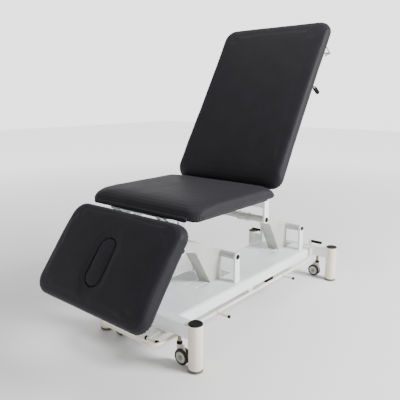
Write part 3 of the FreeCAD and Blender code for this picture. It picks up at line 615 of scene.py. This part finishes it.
# a node group with named inputs; each is (socket kind, name, value)
def nodeGroup(name, sockets):
    tree = bpy.data.node_groups.new(name, "GeometryNodeTree")
    tree.interface.new_socket("Geometry", in_out="INPUT", socket_type="NodeSocketGeometry")
    for kind, label, value in sockets:
        socket = tree.interface.new_socket(label, in_out="INPUT", socket_type="NodeSocket" + kind)
        socket.default_value = value
    tree.interface.new_socket("Finish", in_out="INPUT", socket_type="NodeSocketMaterial")
    tree.interface.new_socket("Geometry", in_out="OUTPUT", socket_type="NodeSocketGeometry")
    return tree, addNode(tree, "NodeGroupInput")


def closeGroup(tree, given, instances):
    real = addNode(tree, "GeometryNodeRealizeInstances", {"Geometry": instances})
    coated = addNode(tree, "GeometryNodeSetMaterial", {"Geometry": (real, 0), "Material": (given, "Finish")})
    addNode(tree, "NodeGroupOutput", {"Geometry": (coated, 0)})
    return tree


# short bars laid along a line: staples in the covers, thread in a seam
def dashRow():
    tree, given = nodeGroup("dash_row", (("Float", "Spacing", 0.03), ("Vector", "Bar", (0.01, 0.001, 0.001)),
                                         ("Vector", "Facing", (0, 0, 1))))
    line = addNode(tree, "GeometryNodeMeshToCurve", {"Mesh": (given, "Geometry")})
    spots = addNode(tree, "GeometryNodeCurveToPoints", {"Curve": (line, 0), "Length": (given, "Spacing")},
                    mode="LENGTH")
    bar = addNode(tree, "GeometryNodeMeshCube", {"Size": (given, "Bar")})
    along = addNode(tree, "FunctionNodeAlignRotationToVector", {"Vector": (spots, "Tangent")}, axis="X")
    out = addNode(tree, "FunctionNodeAlignRotationToVector",
                  {"Rotation": (along, 0), "Vector": (given, "Facing")}, axis="Z", pivot_axis="X")
    laid = addNode(tree, "GeometryNodeInstanceOnPoints",
                   {"Points": (spots, 0), "Instance": (bar, 0), "Rotation": (out, 0)})
    return closeGroup(tree, given, (laid, 0))


# hexagon heads on washers, one at each point and turned to its facing; the corner radius, the washer's
# radius are parts of the width across flats, and the crown's edge a part of the corner radius
headShape = {"corner": 0.577, "washer": 0.95, "crown": 0.84, "washerDepth": 0.0024, "crownDepth": 0.0012}


def boltHeads():
    tree, given = nodeGroup("bolt_heads", (("Float", "Across", 0.010), ("Float", "Height", 0.005)))
    facing = addNode(tree, "GeometryNodeInputNamedAttribute", {"Name": "facing"}, data_type="FLOAT_VECTOR")
    radius = addNode(tree, "ShaderNodeMath", {0: (given, "Across"), 1: headShape["corner"]},
                     operation="MULTIPLY")
    brim = addNode(tree, "ShaderNodeMath", {0: (given, "Across"), 1: headShape["washer"]},
                   operation="MULTIPLY")
    chamfer = addNode(tree, "ShaderNodeMath", {0: (radius, 0), 1: headShape["crown"]}, operation="MULTIPLY")
    washer = addNode(tree, "GeometryNodeMeshCylinder",
                     {"Vertices": 28, "Radius": (brim, 0), "Depth": headShape["washerDepth"]})
    head = addNode(tree, "GeometryNodeMeshCone",
                   {"Vertices": 6, "Radius Bottom": (radius, 0), "Radius Top": (radius, 0),
                    "Depth": (given, "Height")})
    crownLift = addNode(tree, "ShaderNodeCombineXYZ", {"Z": (given, "Height")})
    crown = addNode(tree, "GeometryNodeMeshCone",
                    {"Vertices": 6, "Radius Bottom": (radius, 0), "Radius Top": (chamfer, 0),
                     "Depth": headShape["crownDepth"]})
    lifted = addNode(tree, "GeometryNodeTransform", {"Geometry": (crown, 0), "Translation": (crownLift, 0)})
    whole = addNode(tree, "GeometryNodeJoinGeometry")
    for source in (lifted, head, washer):
        tree.links.new(source.outputs[0], whole.inputs[0])
    turn = addNode(tree, "FunctionNodeAlignRotationToVector", {"Vector": (facing, 0)}, axis="Z")
    laid = addNode(tree, "GeometryNodeInstanceOnPoints",
                   {"Points": (given, "Geometry"), "Instance": (whole, 0), "Rotation": (turn, 0)})
    return closeGroup(tree, given, (laid, 0))


# round ribs in a row along Z, for grips and cuffs
def ribRow():
    tree, given = nodeGroup("rib_row", (("Int", "Count", 8), ("Float", "Pitch", 0.005),
                                        ("Float", "Radius", 0.008), ("Float", "Rib", 0.0008)))
    step = addNode(tree, "ShaderNodeCombineXYZ", {"Z": (given, "Pitch")})
    spots = addNode(tree, "GeometryNodeMeshLine", {"Count": (given, "Count"), "Offset": (step, 0)})
    ring = addNode(tree, "GeometryNodeCurvePrimitiveCircle", {"Resolution": 32, "Radius": (given, "Radius")})
    section = addNode(tree, "GeometryNodeCurvePrimitiveCircle", {"Resolution": 8, "Radius": (given, "Rib")})
    rib = addNode(tree, "GeometryNodeCurveToMesh", {"Curve": (ring, 0), "Profile Curve": (section, 0)})
    laid = addNode(tree, "GeometryNodeInstanceOnPoints", {"Points": (spots, 0), "Instance": (rib, 0)})
    return closeGroup(tree, given, (laid, 0))


groups = {"dash": dashRow(), "bolt": boltHeads(), "rib": ribRow()}


def grow(piece, group, values, material):
    modifier = piece.modifiers.new(group, "NODES")
    modifier.node_group = groups[group]
    sockets = groups[group].interface.items_tree
    labels = {item.name: item.identifier for item in sockets if item.in_out == "INPUT"}
    for label, value in dict(values, Finish=material).items():
        modifier[labels[label]] = value
    settle(piece)


# points joined by straight edges, moved to a section's place
def linePiece(name, points, place, closed=False):
    mesh = bpy.data.meshes.new(name)
    edges = [(k, k + 1) for k in range(len(points) - 1)] + ([(len(points) - 1, 0)] if closed else [])
    mesh.from_pydata([place @ Vector(p) for p in points], edges, [])
    return newPiece(name, mesh)


# staples round each board's underside: ends along, half width and body, 14 mm in from the board's edge
staples = {"seat": ((-0.652, -0.132), 0.289, "top_frame"), "back": ((0.150, 0.942), 0.289, "back_section"),
           "head": ((-0.426, -0.052), 0.289, "head_section")}
stapleWire = {"Spacing": 0.036, "Bar": (0.0125, 0.0013, 0.0011)}
stapleHeight = -0.0122


def makeStaples(key, ends, half, body):
    place = sections[key]
    corners = ((ends[0], -half), (ends[1], -half), (ends[1], half), (ends[0], half))
    rim = [(x, y, stapleHeight) for x, y in corners]
    # the back's lower end has none, to clear the seat's frame when it lies flat
    piece = linePiece(key + "_cover_staples", rim, place, closed=key != "back")
    facing = place.to_3x3() @ Vector((0, 0, -1))
    grow(piece, "dash", dict(stapleWire, Facing=tuple(facing)), finish["bright"])
    dress(piece, finish["bright"], body)


for key, (ends, half, body) in staples.items():
    makeStaples(key, ends, half, body)
print("staples in the covers")

# thread along the seam between the seat's roll and its lip
seamThread = {"Spacing": 0.0062, "Bar": (0.0042, 0.0009, 0.0007), "Facing": (-0.5, 0.0, 0.86)}
seamEnds = [(-0.6955, y, 0.01345) for y in (-0.275, 0.275)]
seam = linePiece("seat_lip_thread", seamEnds, sections["seat"])
grow(seam, "dash", seamThread, finish["thread"])
dress(seam, finish["thread"], "top_frame")
print("seam sewn")

# screws: body, place of the points, across flats, head height, slot, finish, and (point, facing) of each head
flat = Matrix.Identity(4)


def headRow(alongs, sides, height):
    return [((along, side, height), (0, 0, -1)) for along in alongs for side in sides]


railSides = (-0.164, 0.164)
screws = {
    "box_lid_screws": ("base", flat, 0.007, 0.0022, "black_plastic", "darkSteel",
                       [((x, -0.1622, z), (0, -1, 0)) for x in (0.118, 0.168) for z in (0.126, 0.180)]),
    "seat_board_screws": ("top_frame", flat, 0.010, 0.004, "bright_steel", "bright",
                          headRow((-0.590, -0.194), (-0.232, -0.190, 0.190, 0.232), 0.6458)),
    "back_rail_screws": ("back_section", sections["back"], 0.010, 0.004, "bright_steel", "bright",
                         headRow((0.13, 0.30, 0.52, 0.72), railSides, -0.0372)),
    "head_rail_screws": ("head_section", sections["head"], 0.010, 0.004, "bright_steel", "bright",
                         headRow((-0.10, -0.22, -0.35), railSides, -0.0372)),
}


def makeScrews(name, body, place, across, height, slot, coat, heads):
    piece = linePiece(name, [point for point, facing in heads], place)
    attribute = piece.data.attributes.new("facing", "FLOAT_VECTOR", "POINT")
    for item, (point, facing) in zip(attribute.data, heads):
        item.vector = place.to_3x3() @ Vector(facing)
    grow(piece, "bolt", {"Across": across, "Height": height}, finish[coat])
    dress(piece, finish[coat], body)
    piece.data.polygons.foreach_set("use_smooth", [False] * len(piece.data.polygons))


for name, row in screws.items():
    makeScrews(name, *row)
print("screws set")

# ribs on the foot bar's rear grips and on the release grip
lying = Matrix.Rotation(-math.pi / 2, 4, "X")
ribs = {
    "foot_grip_ribs": ("foot_bar", "black_plastic",
                       [Matrix.Translation((0.584, y, 0.252)) @ lying for y in (-0.248, 0.194)],
                       {"Count": 9, "Pitch": 0.0065, "Radius": 0.0080, "Rib": 0.0009}),
    "release_grip_ribs": ("release_lever", "black_plastic",
                          [sections["back"] @ Matrix.Translation((0.628, -0.313, -0.073))],
                          {"Count": 6, "Pitch": 0.0065, "Radius": 0.0100, "Rib": 0.0009}),
}


def makeRibs(name, body, slot, places, values):
    for index, place in enumerate(places):
        piece = linePiece(f"{name}_{index}", [(0, 0, 0)], flat)
        grow(piece, "rib", values, finish["black"])
        piece.data.transform(place)
        dress(piece, finish["black"], body)


for name, row in ribs.items():
    makeRibs(name, *row)
print("grips ribbed")

# castors: a black collar under each stem and a hub cap on both sides of each pair of wheels, set in a little
castor = {"collar": ((0.0085, -0.004), (0.0118, -0.003), (0.0132, 0.002), (0.0128, 0.009), (0.0105, 0.0125),
                     (0.0084, 0.0132)),
          "hub": ((0.0085, 0.0), (0.0085, 0.0012), (0.0070, 0.0024), (0.0035, 0.0030), (0.0008, 0.0032)),
          "stems": {"right": -0.2, "left": 0.2}, "setIn": 0.0004}
for end in ("front", "rear"):
    for side in ("right", "left"):
        low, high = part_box(f"castor_wheels_{end}_{side}")
        axle = Vector(((low[0] + high[0]) / 2, (low[1] + high[1]) / 2, (low[2] + high[2]) / 2))
        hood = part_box(f"castor_hood_{end}_{side}")
        stem = Vector((axle.x, castor["stems"][side], hood[1][2]))
        collar = turned(f"castor_collar_{end}_{side}", castor["collar"], Matrix.Translation(stem))
        dress(collar, finish["black"], "castor_lift")
        for hand, reach in ((1, high[0]), (-1, low[0])):
            turn = Matrix.Rotation(math.pi / 2 * hand, 4, "Y")
            hub = turned(f"castor_hub_{end}_{side}_{'outer' if hand > 0 else 'inner'}", castor["hub"],
                         Matrix.Translation((reach - castor["setIn"] * hand, axle.y, axle.z)) @ turn)
            dress(hub, finish["hub"], f"castor_wheels_{end}_{side}")
print("castors dressed")

# weld beads at the feet of the uprights: laid as overlapping drops, then painted over
weld = {"radius": 0.0026, "drop": 0.0034, "half": 0.018, "sides": 10,
        "places": {"right": -0.1445, "left": 0.1445}}


def weldBead(name, start, end, body):
    way = end - start
    steps = max(8, int(way.length / (weld["drop"] / 3)))
    mesh = bpy.data.meshes.new(name)
    work = bmesh.new()
    across = way.normalized().cross(Vector((0, 0, 1)))
    sides = weld["sides"]
    rings = []
    for k in range(steps + 1):
        share = k / steps
        swell = 0.80 + 0.20 * abs(math.sin(math.pi * share * way.length / weld["drop"]))
        swell *= min(1.0, 0.25 + 6 * min(share, 1 - share))
        swell *= 1 + 0.12 * noise.noise(start * 40 + Vector((share * 9, 0, 0)))
        centre = start + way * share
        ring = [(weld["radius"] * swell * math.cos(a), weld["radius"] * swell * math.sin(a))
                for a in (2 * math.pi * j / sides for j in range(sides))]
        rings.append([work.verts.new(centre + across * c + Vector((0, 0, s))) for c, s in ring])
    for first, second in zip(rings, rings[1:]):
        for j in range(sides):
            work.faces.new((first[j], first[(j + 1) % sides], second[(j + 1) % sides], second[j]))
    work.faces.new(rings[0])
    work.faces.new(rings[-1][::-1])
    bmesh.ops.recalc_face_normals(work, faces=work.faces)
    work.to_mesh(mesh)
    work.free()
    piece = newPiece(name, mesh)
    dress(piece, finish["white"], body)


for end in ("front", "rear"):
    low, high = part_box(f"{end}_uprights")
    x = (low[0] + high[0]) / 2
    for side, y in weld["places"].items():
        foot, reach = Vector((x, y, low[2])), Vector((weld["half"], 0, 0))
        weldBead(f"{end}_upright_weld_{side}", foot - reach, foot + reach, "base")
print("welds laid")


# pale studio: a floor that brightens outwards, a lit wall all round, brightest behind, and three soft boxes
studio = {"floor": "#F2F2F2", "half": 14, "glow": (1.2, 6.0, 1.7), "wall": (0.767, 0.641, 0.0),
          "above": 0.3, "front": 1.1, "bright": 2.6, "turn": (0.3, 0.86), "rise": (0.2, 0.36),
          "aim": Vector((-0.1, 0, 0.7)),
          "lights": ((0.9, -3.8, 2.7, 420, 1.6), (0.5, 0.6, 4.4, 95, 3.0), (-2.6, -1.2, 3.2, 6, 2.0))}


def setStudio(settings):
    floorMesh = bpy.data.meshes.new("floor")
    half = settings["half"]
    corners = ((-half, -half, 0), (half, -half, 0), (half, half, 0), (-half, half, 0))
    floorMesh.from_pydata(corners, [], [(0, 1, 2, 3)])
    floor = bpy.data.objects.new("floor", floorMesh)
    bpy.context.collection.objects.link(floor)
    material, tree, shader = newMaterial("pale_floor", Roughness=0.9)
    shader.inputs["Base Color"].default_value = hexColour(settings["floor"])
    shader.inputs["Emission Color"].default_value = (1, 1, 1, 1)
    place = addNode(tree, "ShaderNodeTexCoord")
    reach = addNode(tree, "ShaderNodeVectorMath", {0: (place, "Object")}, operation="LENGTH")
    near, far, most = settings["glow"]
    addNode(tree, "ShaderNodeMapRange", {"Value": (reach, "Value"), "From Min": near, "From Max": far,
                                         "To Max": most}, to=("Result", shader, "Emission Strength"))
    floor.data.materials.append(material)
    world = bpy.data.worlds.new("studio")
    world.use_nodes = True
    tree = world.node_tree
    way = addNode(tree, "ShaderNodeTexCoord")
    height = addNode(tree, "ShaderNodeSeparateXYZ", {"Vector": (way, "Generated")})
    facing = addNode(tree, "ShaderNodeVectorMath", {0: (way, "Generated"), 1: settings["wall"]},
                     operation="DOT_PRODUCT")
    (aside, ahead), (low, high) = settings["turn"], settings["rise"]
    band = addNode(tree, "ShaderNodeMapRange",
                   {"Value": (facing, "Value"), "From Min": aside, "From Max": ahead,
                    "To Min": settings["front"], "To Max": settings["bright"]})
    background = tree.nodes["Background"]
    addNode(tree, "ShaderNodeMapRange", {"Value": (height, "Z"), "From Min": low, "From Max": high,
                                         "To Min": (band, 0), "To Max": settings["above"]},
            to=("Result", background, "Strength"))
    background.inputs["Color"].default_value = (1, 1, 1, 1)
    bpy.context.scene.world = world
    for x, y, z, power, size in settings["lights"]:
        data = bpy.data.lights.new("softbox", "AREA")
        data.energy, data.size = power, size
        lamp = bpy.data.objects.new("softbox", data)
        bpy.context.collection.objects.link(lamp)
        lamp.location = (x, y, z)
        lamp.rotation_euler = (settings["aim"] - lamp.location).to_track_quat("-Z", "Y").to_euler()


setStudio(studio)
print("studio lit")
